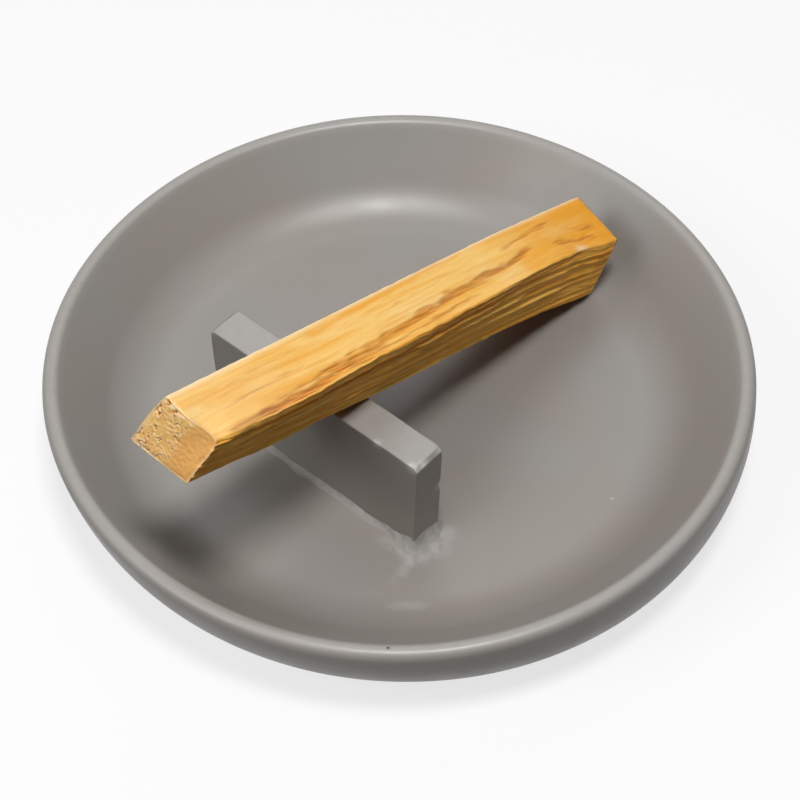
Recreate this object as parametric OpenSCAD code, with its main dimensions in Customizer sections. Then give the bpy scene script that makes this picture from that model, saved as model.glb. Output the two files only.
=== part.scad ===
// Palo santo holder: a round ceramic dish, an upright bar luted across its floor with slip,
// and a split stick of scented wood that leans on the bar with its tail on the dish floor.
// Millimetres. +Z is up, the bar runs along X, the stick runs along Y with its tip towards -Y.
// The origin is on the table under the centre of the dish.

/* [Dish] */
// Outer diameter at the lip
dish_d = 120; // [100:1:150]
// Height from the table to the top of the lip
dish_h = 18; // [14:0.2:26]
// Thickness of the rounded lip
lip_t = 3.2; // [2:0.2:5]
// Thickness of the floor
floor_t = 5.4; // [3:0.2:8]
// Diameter of the flat part of the floor
floor_d = 80; // [70:1:92]
// Length of the straight part of the inner wall, between the turn out of the floor and the lip
wall_straight = 10.5; // [4:0.5:13]
// Diameter of the base that the dish stands on
base_d = 99; // [84:1:112]
// Width of the foot ring round the edge of the base
foot_w = 7; // [3:0.5:15]
// Depth of the shallow recess inside the foot ring
foot_recess = 1; // [0.4:0.1:1.8]

/* [Rest bar] */
// Length of the bar along its top
bar_len = 45.4; // [30:0.2:60]
// Thickness of the bar
bar_t = 6.3; // [4:0.1:10]
// Height of the bar above the dish floor
bar_h = 21; // [14:0.5:30]
// How far each end leans in from the top to the foot
bar_draft = 0.8; // [0:0.1:2]
// Worn corner along the top edge of each end
bar_chamfer = 1; // [0.3:0.1:2]
// Distance of the bar's middle in front of the centre of the dish
bar_offset = 18.3; // [10:0.1:26]

/* [Slip seam] */
// Radius of the bead of slip round the foot of the bar
seam_r = 1.3; // [0.6:0.1:3]

/* [Stick] */
// Length along the lower right edge
stick_len = 101.5; // [75:0.5:125]
// Width of the flat split face underneath
stick_base_w = 12.6; // [8:0.1:18]
// Height of the upper left edge at the tip
tip_left_h = 11.6; // [7:0.1:16]
// Height of the upper left edge at the tail
tail_left_h = 16; // [10:0.1:20]
// Height of the upper right edge at the tip
tip_right_h = 9.6; // [6:0.1:14]
// Height of the upper right edge at the tail
tail_right_h = 12.9; // [8:0.1:18]
// How far the left face leans in at the tip
tip_left_in = 5; // [0:0.1:6]
// How far the left face leans in at the tail
tail_left_in = 3.8; // [0:0.1:6]
// How far the right face leans out at the tip
tip_right_out = 3.1; // [0:0.1:5]
// How far the right face leans out at the tail
tail_right_out = 1.8; // [0:0.1:5]
// Distance from the tip to the fullest part of the stick
belly_at = 76; // [50:1:90]
// How far the upper left edge bows out at the fullest part
belly_left_bow = 1; // [0:0.1:3]
// How far the upper right edge bows out at the fullest part
belly_right_bow = 1.6; // [0:0.1:3]
// How far the underside arches up below the fullest part
belly_arch = 0.6; // [0:0.1:2]
// Sideways place of the lower right edge where the tail touches down
tail_x = 9.1; // [0:0.1:14]
// How far past the edge of the flat floor the tail touches down
tail_past = 2.5; // [0:0.1:4]
// Turn of the stick away from square to the bar, in degrees
stick_yaw = 2; // [0:0.5:8]
// Gap left under the loose stick where it rests on the bar and on the floor
rest_gap = 0.2; // [0.1:0.05:0.5]

/* [Hidden] */
$fn = 96;

// How far the inner wall bites into the lip, so that the two cross cleanly
lip_bite = 0.05;
// Curves that meet a flat are rounded to this step
round_step = 0.01;
// Extra reach of a cut past the face that it opens
cut_over = 1;

dish_r = dish_d / 2;
lip_r = lip_t / 2;
lip_z = dish_h - lip_r;
floor_r = floor_d / 2;
base_r = base_d / 2;

// The outer wall is one arc from the edge of the base, upright where it meets the lip
base_inset = dish_r - base_r;
wall_r = (base_inset * base_inset + lip_z * lip_z) / (2 * base_inset);

// The inner wall turns up out of the floor in one arc, then runs straight to the lip and touches both
bowl_run = dish_r - lip_r - floor_r;
bowl_rise = lip_z - floor_t;
bite_r = lip_r - lip_bite;
bowl_reach = norm([bowl_run, bowl_rise]);
bowl_r_true = (bowl_reach * bowl_reach - bite_r * bite_r - wall_straight * wall_straight) / (2 * (bowl_rise + bite_r));
bowl_r = round(bowl_r_true / round_step) * round_step;
bowl_drop = bowl_rise - bowl_r;
wall_slope = atan2(bowl_drop, bowl_run) + asin((bowl_r + bite_r) / norm([bowl_run, bowl_drop]));
turn_end = [floor_r + bowl_r * sin(wall_slope), floor_t + bowl_r * (1 - cos(wall_slope))];
wall_end = turn_end + (wall_straight + lip_t) * [cos(wall_slope), sin(wall_slope)];

bar_rear = bar_t / 2 - bar_offset;
bar_foot_len = bar_len - 2 * bar_draft;

// The tail touches down where the floor begins to turn up. The arched underside lies on the bar's rear edge,
// so the bar's height sets the tilt.
tail_r = floor_r + tail_past;
tail_y = sqrt(tail_r * tail_r - tail_x * tail_x);
tail_rise = bowl_r - sqrt(bowl_r * bowl_r - tail_past * tail_past);
rest_rise = bar_h - tail_rise;
stick_run = (tail_y - bar_rear) / cos(stick_yaw);
contact_at = stick_len - norm([stick_run, rest_rise]);
contact_arch = belly_arch * min(contact_at / belly_at, (stick_len - contact_at) / (stick_len - belly_at));
contact_drop = contact_arch / cos(atan2(rest_rise, stick_run));
stick_tilt = atan2(rest_rise - contact_drop, stick_run);
belly_share = belly_at / stick_len;

// Corners of the stick's section, measured from its lower right edge, in the order
// lower left, upper left, upper right, lower right
corner_count = 4;
tip_corners = [
    [-stick_base_w, 0],
    [tip_left_in - stick_base_w, tip_left_h],
    [tip_right_out, tip_right_h],
    [0, 0]
];
tail_corners = [
    [-stick_base_w, 0],
    [tail_left_in - stick_base_w, tail_left_h],
    [tail_right_out, tail_right_h],
    [0, 0]
];
belly_lift = [belly_arch, belly_left_bow, belly_right_bow, belly_arch];
belly_corners = [
    for (i = [0:corner_count - 1])
        tip_corners[i] * (1 - belly_share) + tail_corners[i] * belly_share + [0, belly_lift[i]]
];

// Places a section's corners at a distance along the stick from its tip
function section_points(corners, along) = [for (c = corners) [c.x, along, c.y]];

// Moves the point numbers of some triangles on to a later section
function on_section(faces, section) = [for (f = faces) [for (k = f) section * corner_count + k]];

// Triangles of the sides between the first two sections
side_faces = [
    for (i = [0:corner_count - 1])
        let (j = (i + 1) % corner_count)
            for (face = [[i, i + corner_count, j + corner_count], [i, j + corner_count, j]]) face
];

// Triangles that close the tip, and the same turned round for the tail
tip_faces = [[0, 1, 2], [0, 2, 3]];
tail_faces = [for (f = tip_faces) [f[2], f[1], f[0]]];

module dish_section() {
    difference() {
        union() {
            intersection() {
                union() {
                    translate([dish_r - wall_r, lip_z]) circle(wall_r);
                    square([dish_r - wall_r, lip_z]);
                }
                square([dish_r, lip_z]);
            }
            intersection() {
                translate([dish_r - lip_r, lip_z]) circle(lip_r);
                translate([dish_r - lip_t, lip_z]) square([lip_t, lip_r]);
            }
        }
        translate([floor_r, floor_t + bowl_r]) circle(bowl_r);
        polygon([[floor_r, floor_t], turn_end, wall_end, [floor_r, wall_end.y]]);
        translate([0, floor_t]) square([floor_r, dish_h]);
        square([base_r - foot_w, foot_recess]);
    }
}

module dish() {
    color([0.59, 0.57, 0.54])
        rotate_extrude() dish_section();
}

// Front view of the bar, from its foot up
module bar_outline() {
    top = bar_len / 2;
    foot = bar_foot_len / 2;
    polygon([
        [-foot, 0],
        [foot, 0],
        [top, bar_h - bar_chamfer],
        [top - bar_chamfer, bar_h],
        [bar_chamfer - top, bar_h],
        [-top, bar_h - bar_chamfer]
    ]);
}

module bar_solid() {
    translate([0, bar_rear, floor_t])
        rotate([90, 0, 0])
            linear_extrude(bar_t) bar_outline();
}

module rest_bar() {
    color([0.57, 0.55, 0.52]) bar_solid();
}

// A round bead along the foot of the bar, with the bar itself taken out of it
module slip_seam() {
    half_l = bar_foot_len / 2;
    half_t = bar_t / 2;
    color([0.66, 0.64, 0.61])
        difference() {
            translate([0, bar_rear - half_t, floor_t])
                intersection() {
                    union() {
                        for (side = [-1, 1]) {
                            translate([-half_l, side * half_t, 0])
                                rotate([0, 90, 0]) cylinder(h = bar_foot_len, r = seam_r);
                            translate([side * half_l, half_t, 0])
                                rotate([90, 0, 0]) cylinder(h = bar_t, r = seam_r);
                            for (end = [-1, 1])
                                translate([end * half_l, side * half_t, 0]) sphere(seam_r);
                        }
                    }
                    translate([-dish_r, -dish_r, 0]) cube([dish_d, dish_d, seam_r + cut_over]);
                }
            bar_solid();
        }
}

module palo_santo_stick() {
    color([0.93, 0.72, 0.38])
        translate([tail_x, tail_y, floor_t + tail_rise + rest_gap])
            rotate([-stick_tilt, 0, -stick_yaw])
                translate([0, -stick_len, 0])
                    polyhedron(
                        points = concat(
                            section_points(tip_corners, 0),
                            section_points(belly_corners, belly_at),
                            section_points(tail_corners, stick_len)
                        ),
                        faces = concat(
                            tip_faces,
                            side_faces,
                            on_section(side_faces, 1),
                            on_section(tail_faces, 2)
                        )
                    );
}

dish();
rest_bar();
slip_seam();
palo_santo_stick();
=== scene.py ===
"""Looks of a palo santo holder: a stoneware dish, a rest bar luted into it with slip, and a split stick.

Metres throughout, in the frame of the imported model: +Z is up, the bar runs along X, and the stick runs
along Y with its raised tip towards -Y.
"""

import logging
import math
from collections.abc import Mapping, Sequence
from dataclasses import dataclass
from enum import Enum, IntEnum
from typing import Any, ClassVar

import bmesh
import bpy
from bmesh.types import BMEdge, BMesh, BMVert
from mathutils import Matrix, Vector, noise


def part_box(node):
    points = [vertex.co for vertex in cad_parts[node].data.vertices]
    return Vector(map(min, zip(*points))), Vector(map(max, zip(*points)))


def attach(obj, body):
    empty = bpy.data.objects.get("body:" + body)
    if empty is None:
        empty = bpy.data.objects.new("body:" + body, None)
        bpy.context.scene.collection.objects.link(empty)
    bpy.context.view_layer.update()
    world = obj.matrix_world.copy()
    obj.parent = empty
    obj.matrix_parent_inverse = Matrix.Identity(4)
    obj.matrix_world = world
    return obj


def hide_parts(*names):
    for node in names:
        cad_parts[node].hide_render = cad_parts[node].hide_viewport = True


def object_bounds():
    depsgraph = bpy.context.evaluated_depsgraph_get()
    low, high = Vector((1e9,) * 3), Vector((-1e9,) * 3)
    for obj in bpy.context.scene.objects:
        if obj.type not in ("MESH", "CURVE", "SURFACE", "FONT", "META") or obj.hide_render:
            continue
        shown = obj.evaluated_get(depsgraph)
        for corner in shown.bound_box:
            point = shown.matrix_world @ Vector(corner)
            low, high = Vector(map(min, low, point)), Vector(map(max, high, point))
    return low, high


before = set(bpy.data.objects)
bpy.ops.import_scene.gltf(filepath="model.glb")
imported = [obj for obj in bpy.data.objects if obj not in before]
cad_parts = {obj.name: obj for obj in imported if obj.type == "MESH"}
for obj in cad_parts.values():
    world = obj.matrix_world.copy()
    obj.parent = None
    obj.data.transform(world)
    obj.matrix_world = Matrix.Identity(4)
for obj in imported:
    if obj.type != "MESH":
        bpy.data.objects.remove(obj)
cad_low, cad_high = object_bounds()

LOG = logging.getLogger("palo_santo_holder")
MM = 0.001
PER_MM = 1000.0
MERGE = 0.001 * MM
UP = Vector((0, 0, 1))
NOISE_SEED = 5
MIDDLE = 0.5
WEAR_AND_SHEEN = "wear_and_sheen"
GRAIN = "grain"

Colour = tuple[float, float, float, float]


class Node(Enum):
    """The CAD nodes that the pieces stand for."""

    DISH = "dish"
    REST_BAR = "rest_bar"
    SLIP_SEAM = "slip_seam"
    STICK = "palo_santo_stick"


class Body(Enum):
    """The CAD bodies that the pieces ride on."""

    HOLDER = "holder"
    STICK = "stick"


class Slot(Enum):
    """The record's material slots."""

    STONEWARE = "stoneware"
    SLIP = "slip"
    PALO_SANTO = "palo_santo"


class Blend(Enum):
    """How one colour goes over another."""

    MIX = "MIX"
    MULTIPLY = "MULTIPLY"


class Mark(Enum):
    """What the wood carries at its vertices, from 0 to 1."""

    TORN = "torn"
    SAWN = "sawn"
    GROOVE_SHADE = "groove"
    STREAK = "streak"
    AMBER = "amber"
    BROWN_SHADE = "bark"
    SLIVER = "sliver"
    PIT = "pit"
    SMOOTH = "smooth"
    EDGE = "edge"


class Corner(IntEnum):
    """The long edges of the stick, in order round its section."""

    LOWER_LEFT = 0
    LOWER_RIGHT = 1
    UPPER_RIGHT = 2
    UPPER_LEFT = 3


def srgb(red: int, green: int, blue: int) -> Colour:
    """A colour as a screen shows it, in linear light.

    Args:
        red: Red from 0 to 255.
        green: Green from 0 to 255.
        blue: Blue from 0 to 255.

    Returns:
        Linear red, green, blue and a full alpha.
    """
    full, knee, slope, offset, power = 255, 0.04045, 12.92, 0.055, 2.4
    shares = (red / full, green / full, blue / full)
    linear = [s / slope if s <= knee else ((s + offset) / (1 + offset)) ** power for s in shares]
    return (linear[0], linear[1], linear[2], 1.0)


def smoothstep(low: float, high: float, value: float) -> float:
    """Rises smoothly from 0 at low to 1 at high."""
    share = min(max((value - low) / (high - low), 0.0), 1.0)
    return share * share * (3 - 2 * share)


def bell(distance: float, width: float) -> float:
    """A smooth hump that is 1 at no distance and fades over a width."""
    return math.exp(-((distance / width) ** 2))


def along_points(points: Sequence[tuple[float, float]], place: float) -> float:
    """A value that eases from one point of a short list to the next.

    Args:
        points: Places in rising order, each with its value.
        place: The place where the value is wanted.

    Returns:
        The value there, level beyond the ends.
    """
    value = points[0][1]
    for (start, low), (end, high) in zip(points, points[1:]):
        value += (high - low) * smoothstep(start, end, place)
    return value


def weighed(weights: Mapping[str, float], parts: Mapping[str, float]) -> float:
    """The sum of named parts, each times its weight."""
    return sum(weight * parts[name] for name, weight in weights.items())


def bevel(bm: BMesh, edges: Sequence[BMEdge], size: float, segments: int) -> None:
    """Takes the corner off some edges.

    Args:
        bm: The mesh.
        edges: The edges to cut.
        size: How far the cut reaches on each side.
        segments: 1 for a flat cut, more for a round one.
    """
    bmesh.ops.bevel(
        bm, geom=edges, offset=size, offset_type="OFFSET", segments=segments, profile=0.5, affect="EDGES",
        material=-1, clamp_overlap=True
    )


@dataclass(frozen=True)
class Ramp:
    """A smooth rise from 0 at low to 1 at high."""

    low: float
    high: float

    def at(self, value: float) -> float:
        """The rise at a number."""
        return smoothstep(self.low, self.high, value)

    def of(self, value: "Value") -> "Value":
        """The rise of a shader value."""
        return value.rise(self.low, self.high)


@dataclass(frozen=True)
class Uneven:
    """A value that noise swings about a base: how far, how many humps to a millimetre, and a shift."""

    base: float
    swing: float
    scale: float
    shift: float = 0.0

    def at(self, place: Vector) -> float:
        """The value at a place in metres."""
        return self.base + self.swing * noise.noise(place * self.scale * PER_MM + UP * self.shift)


class Value:
    """A shader socket that takes part in Python sums."""

    def __init__(self, graph: "Graph", socket: bpy.types.NodeSocket) -> None:
        """Keeps the socket and the graph that its sums are added to."""
        self.graph = graph
        self.socket = socket

    def __add__(self, other: "Value | float") -> "Value":
        """This plus the other."""
        return self.graph.math("ADD", self, other)

    def __radd__(self, other: float) -> "Value":
        """A number plus this."""
        return self.graph.math("ADD", other, self)

    def __sub__(self, other: "Value | float") -> "Value":
        """This less the other."""
        return self.graph.math("SUBTRACT", self, other)

    def __rsub__(self, other: float) -> "Value":
        """A number less this."""
        return self.graph.math("SUBTRACT", other, self)

    def __mul__(self, other: "Value | float") -> "Value":
        """This times the other."""
        return self.graph.math("MULTIPLY", self, other)

    def __rmul__(self, other: float) -> "Value":
        """A number times this."""
        return self.graph.math("MULTIPLY", other, self)

    def rise(self, low: float, high: float) -> "Value":
        """Rises smoothly from 0 where this is low to 1 where it is high.

        Args:
            low: Where the rise starts.
            high: Where it ends.

        Returns:
            The rise.
        """
        settings = {"interpolation_type": "SMOOTHSTEP"}
        inputs = {"Value": self, "From Min": low, "From Max": high}
        return self.graph.output("ShaderNodeMapRange", settings, inputs)


class Graph:
    """Builds the nodes of one material or world."""

    MIX_FACTOR, MIX_FIRST, MIX_SECOND, MIX_RESULT = 0, 6, 7, 2

    def __init__(self, owner: bpy.types.Material | bpy.types.World) -> None:
        """Starts with an empty tree."""
        self.owner = owner
        owner.use_nodes = True
        self.tree = owner.node_tree
        self.tree.nodes.clear()

    def node(self, kind: str, settings: dict[str, Any], inputs: dict[str | int, Any]) -> bpy.types.Node:
        """Adds one node.

        Args:
            kind: The node's type.
            settings: Its own settings, which are set first.
            inputs: Values or links of its sockets, by name or number.

        Returns:
            The node.
        """
        made = self.tree.nodes.new(kind)
        for name, value in settings.items():
            setattr(made, name, value)
        for key, value in inputs.items():
            if isinstance(value, Value):
                self.tree.links.new(value.socket, made.inputs[key])
            else:
                made.inputs[key].default_value = value
        return made

    def output(
        self, kind: str, settings: dict[str, Any], inputs: dict[str | int, Any], which: str | int = 0
    ) -> Value:
        """Adds one node and gives one of its outputs."""
        return Value(self, self.node(kind, settings, inputs).outputs[which])

    def math(self, operation: str, first: Value | float, second: Value | float) -> Value:
        """One sum of two values."""
        return self.output("ShaderNodeMath", {"operation": operation}, {0: first, 1: second})

    def millimetres(self) -> Value:
        """The piece's own coordinates, in millimetres."""
        place = self.output("ShaderNodeTexCoord", {}, {}, "Object")
        return self.output("ShaderNodeVectorMath", {"operation": "SCALE"}, {0: place, "Scale": PER_MM})

    def distance(self, place: Value, spot: Sequence[float]) -> Value:
        """How far a place is from a spot."""
        inputs = {0: place, 1: tuple(spot)}
        return self.output("ShaderNodeVectorMath", {"operation": "DISTANCE"}, inputs, "Value")

    def turned(self, place: Value, spot: Sequence[float], turn: float, size: Sequence[float]) -> Value:
        """A place as a flat oval mark has it.

        Args:
            place: The place on the piece.
            spot: The middle of the mark.
            turn: Degrees from the piece's X towards its Y that the mark lies turned.
            size: Half the mark's length, width and depth.

        Returns:
            The place from the middle of the mark, with the mark's edge at 1.
        """
        settings = {"vector_type": "TEXTURE"}
        inputs = {
            "Vector": place,
            "Location": tuple(spot),
            "Rotation": (0, 0, math.radians(turn)),
            "Scale": tuple(size),
        }
        return self.output("ShaderNodeMapping", settings, inputs)

    def mix(
        self, factor: Value, first: Value | Colour, second: Value | Colour, blend: Blend = Blend.MIX
    ) -> Value:
        """One colour over another.

        Args:
            factor: Share of the second colour.
            first: The colour below.
            second: The colour above.
            blend: How they combine.

        Returns:
            The mixed colour.
        """
        settings = {"data_type": "RGBA", "blend_type": blend.value, "clamp_factor": True}
        inputs = {self.MIX_FACTOR: factor, self.MIX_FIRST: first, self.MIX_SECOND: second}
        return self.output("ShaderNodeMix", settings, inputs, self.MIX_RESULT)

    def attribute(self, name: str, which: str = "Fac") -> Value:
        """A value that the mesh carries at its vertices."""
        settings = {"attribute_type": "GEOMETRY", "attribute_name": name}
        return self.output("ShaderNodeAttribute", settings, {}, which)

    def mark(self, mark: Mark) -> Value:
        """A mark of the wood, from 0 to 1."""
        return self.attribute(mark.value)

    def bump(self, height: Value, depth: float, strength: float) -> Value:
        """A surface normal from a height of 0 to 1 over a real depth."""
        inputs = {"Height": height, "Distance": depth, "Strength": strength}
        return self.output("ShaderNodeBump", {}, inputs, "Normal")

    def seen(self) -> Value:
        """1 for the rays that show a background: from the camera, off gloss and through glass."""
        path = self.node("ShaderNodeLightPath", {}, {})
        rays = ("Is Camera Ray", "Is Glossy Ray", "Is Transmission Ray")
        camera, gloss, glass = (Value(self, path.outputs[ray]) for ray in rays)
        return camera + gloss + glass

    def surface(self, shader: Value) -> bpy.types.Material | bpy.types.World:
        """Makes a shader the surface.

        Args:
            shader: The shader.

        Returns:
            The finished material or world.
        """
        is_world = isinstance(self.owner, bpy.types.World)
        kind = "ShaderNodeOutputWorld" if is_world else "ShaderNodeOutputMaterial"
        self.node(kind, {}, {"Surface": shader})
        return self.owner


@dataclass(frozen=True)
class Pattern:
    """Soft noise in a finish: lumps to a unit across and along, finer layers, and how far it swirls."""

    across: float
    along: float
    detail: float = 2.0
    warp: float = 0.0

    def on(self, graph: Graph, place: Value) -> Value:
        """Adds the noise, from 0 to 1.

        Args:
            graph: The material.
            place: Where it is read.

        Returns:
            The noise.
        """
        stretch = (self.across, self.along, self.across)
        stretched = graph.output("ShaderNodeVectorMath", {"operation": "MULTIPLY"}, {0: place, 1: stretch})
        inputs = {"Vector": stretched, "Scale": 1.0, "Detail": self.detail, "Distortion": self.warp}
        return graph.output("ShaderNodeTexNoise", {"noise_dimensions": "3D"}, inputs)


@dataclass(frozen=True)
class Coat:
    """A colour over what is below it: how much of it, and the ramp that shapes its pattern, if any."""

    colour: Colour
    share: float = 1.0
    ramp: Ramp | None = None

    def over(self, graph: Graph, below: Value | Colour, pattern: Value, blend: Blend = Blend.MIX) -> Value:
        """Lays the colour on where a pattern is strong.

        Args:
            graph: The material.
            below: The colour below.
            pattern: Where the coat lies, from 0 to 1.
            blend: How the two combine.

        Returns:
            The mixed colour.
        """
        shown = self.ramp.of(pattern) if self.ramp else pattern
        return graph.mix(shown * self.share, below, self.colour, blend)


@dataclass(frozen=True)
class Smear:
    """An oval where slip was wiped over the clay, in millimetres, and how pale it left it."""

    at: tuple[float, float, float]
    turn: float
    size: tuple[float, float, float]
    strength: float

    def on(self, graph: Graph, place: Value, edge: Ramp) -> Value:
        """How pale a place is, with a soft edge."""
        apart = graph.distance(graph.turned(place, self.at, self.turn, self.size), (0, 0, 0))
        return edge.of(1 - apart) * self.strength


@dataclass(frozen=True)
class StonewareFinish:
    """Warm grey clay with a satin skin, mottled and faintly gritty, paler where it is worn by rubbing or
    wiped with slip, and paler still as a painted highlight on the lip and a painted sheen on the bar's top.
    """

    name: str
    wear_and_sheen_share: float = 0.24
    clay: Colour = srgb(140, 137, 133)
    warm: Coat = Coat(srgb(142, 136, 130), 1.0, Ramp(0.36, 0.64))
    grit: Coat = Coat(srgb(118, 113, 105), 0.12)
    pale_wear_smear_and_sheen: Colour = srgb(204, 201, 197)
    mottle: Pattern = Pattern(0.045, 0.045, 3.0, 0.4)
    drift: Pattern = Pattern(0.16, 0.16)
    specks: Pattern = Pattern(1.7, 1.7, 1.0)
    specks_shown: Ramp = Ramp(0.66, 0.74)
    grain: Pattern = Pattern(5.0, 5.0)
    wear_and_sheen_patches: Pattern = Pattern(0.5, 0.5, 3.0)
    wear_and_sheen_patches_shown: Ramp = Ramp(0.2, 0.6)
    wear_and_sheen_patches_share: float = 0.2
    smear_edge: Ramp = Ramp(0.0, 0.9)
    smear_patches: Pattern = Pattern(0.5, 0.5)
    smear_patches_shown: Ramp = Ramp(0.22, 0.6)
    smears: tuple[Smear, ...] = (
        Smear((29.0, -30.7, 5.4), 41.7, (5.0, 1.8, 1.4), 0.22),
        Smear((24.0, -16.0, 5.4), 80.0, (3.8, 2.6, 2.5), 0.24),
        Smear((24.8, -19.6, 5.4), 60.0, (3.8, 2.8, 2.5), 0.26),
        Smear((23.2, -23.0, 5.4), 20.0, (3.8, 2.4, 2.5), 0.25),
        Smear((18.6, -23.4, 5.4), 5.0, (4.5, 1.5, 1.5), 0.25),
        Smear((23.6, -26.0, 5.4), -84.0, (4.6, 1.7, 1.5), 0.18),
        Smear((40.1, 7.9, 5.5), 41.7, (0.6, 0.4, 0.8), 0.45),
    )
    pinhole_at: tuple[float, float, float] = (37.3, -44.9, 17.6)
    pinhole_edge: Ramp = Ramp(0.21, 0.42)
    pinhole_share: float = 0.9
    sheen_rough: float = 0.385
    drift_rough: float = 0.14
    mark_rough: float = 0.3
    grain_height: float = 0.55
    drift_height: float = 0.6
    speck_depth: float = 0.1
    relief: float = 0.06 * MM
    relief_strength: float = 0.35

    def material(self) -> bpy.types.Material:
        """Builds the clay's nodes."""
        graph = Graph(bpy.data.materials.new(self.name))
        place = graph.millimetres()
        drift, grain = self.drift.on(graph, place), self.grain.on(graph, place)
        specks = self.specks_shown.of(self.specks.on(graph, place))
        patches = self.wear_and_sheen_patches_shown.of(self.wear_and_sheen_patches.on(graph, place))
        wear_and_sheen = graph.attribute(WEAR_AND_SHEEN) * (1 - self.wear_and_sheen_patches_share * (1 - patches))
        smear = sum(mark.on(graph, place, self.smear_edge) for mark in self.smears)
        smear = smear * self.smear_patches_shown.of(self.smear_patches.on(graph, place))
        pinhole = 1 - self.pinhole_edge.of(graph.distance(place, self.pinhole_at))
        colour = self.warm.over(graph, self.clay, self.mottle.on(graph, place))
        colour = self.grit.over(graph, colour, specks)
        # Paler at the marked vertices: worn lip and chips, with a painted highlight on the lip and a painted
        # sheen on the bar's top faces.
        colour = graph.mix(wear_and_sheen * self.wear_and_sheen_share, colour, self.pale_wear_smear_and_sheen)
        colour = graph.mix(smear, colour, self.pale_wear_smear_and_sheen)
        colour = graph.mix(pinhole * self.pinhole_share, colour, self.grit.colour, Blend.MULTIPLY)
        rough = self.sheen_rough + (drift - MIDDLE) * self.drift_rough + (smear + pinhole) * self.mark_rough
        height = grain * self.grain_height + drift * self.drift_height - specks * self.speck_depth - pinhole
        inputs = {
            "Base Color": colour,
            "Roughness": rough,
            "Normal": graph.bump(height, self.relief, self.relief_strength),
        }
        return graph.surface(graph.output("ShaderNodeBsdfPrincipled", {}, inputs))


@dataclass(frozen=True)
class SlipFinish:
    """Dry slip, paler than the clay and crumbly, that melts into the clay where it is thin."""

    name: str
    clay: Colour = srgb(141, 137, 132)
    slip: Colour = srgb(144, 141, 136)
    pale: Coat = Coat(srgb(158, 155, 150), 1.0, Ramp(0.42, 0.62))
    damp: Coat = Coat(srgb(128, 124, 117), 0.5, Ramp(0.58, 0.75))
    patches: Pattern = Pattern(0.55, 0.55, 3.0, 0.5)
    crumbs: Pattern = Pattern(2.6, 2.6, 3.0)
    floor: float = 5.4
    thickness: Ramp = Ramp(0.0, 0.5)
    roughness: float = 0.62
    patch_rough: float = 0.2
    patch_height: float = 0.7
    relief: float = 0.12 * MM
    relief_strength: float = 0.5

    def material(self) -> bpy.types.Material:
        """Builds the slip's nodes."""
        graph = Graph(bpy.data.materials.new(self.name))
        place = graph.millimetres()
        patches, crumbs = self.patches.on(graph, place), self.crumbs.on(graph, place)
        level = graph.output("ShaderNodeSeparateXYZ", {}, {"Vector": place}, "Z")
        colour = self.pale.over(graph, self.slip, patches)
        colour = self.damp.over(graph, colour, crumbs)
        colour = graph.mix(self.thickness.of(level - self.floor), self.clay, colour)
        inputs = {
            "Base Color": colour,
            "Roughness": self.roughness + (patches - MIDDLE) * self.patch_rough,
            "Normal": graph.bump(crumbs + patches * self.patch_height, self.relief, self.relief_strength),
        }
        return graph.surface(graph.output("ShaderNodeBsdfPrincipled", {}, inputs))


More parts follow.
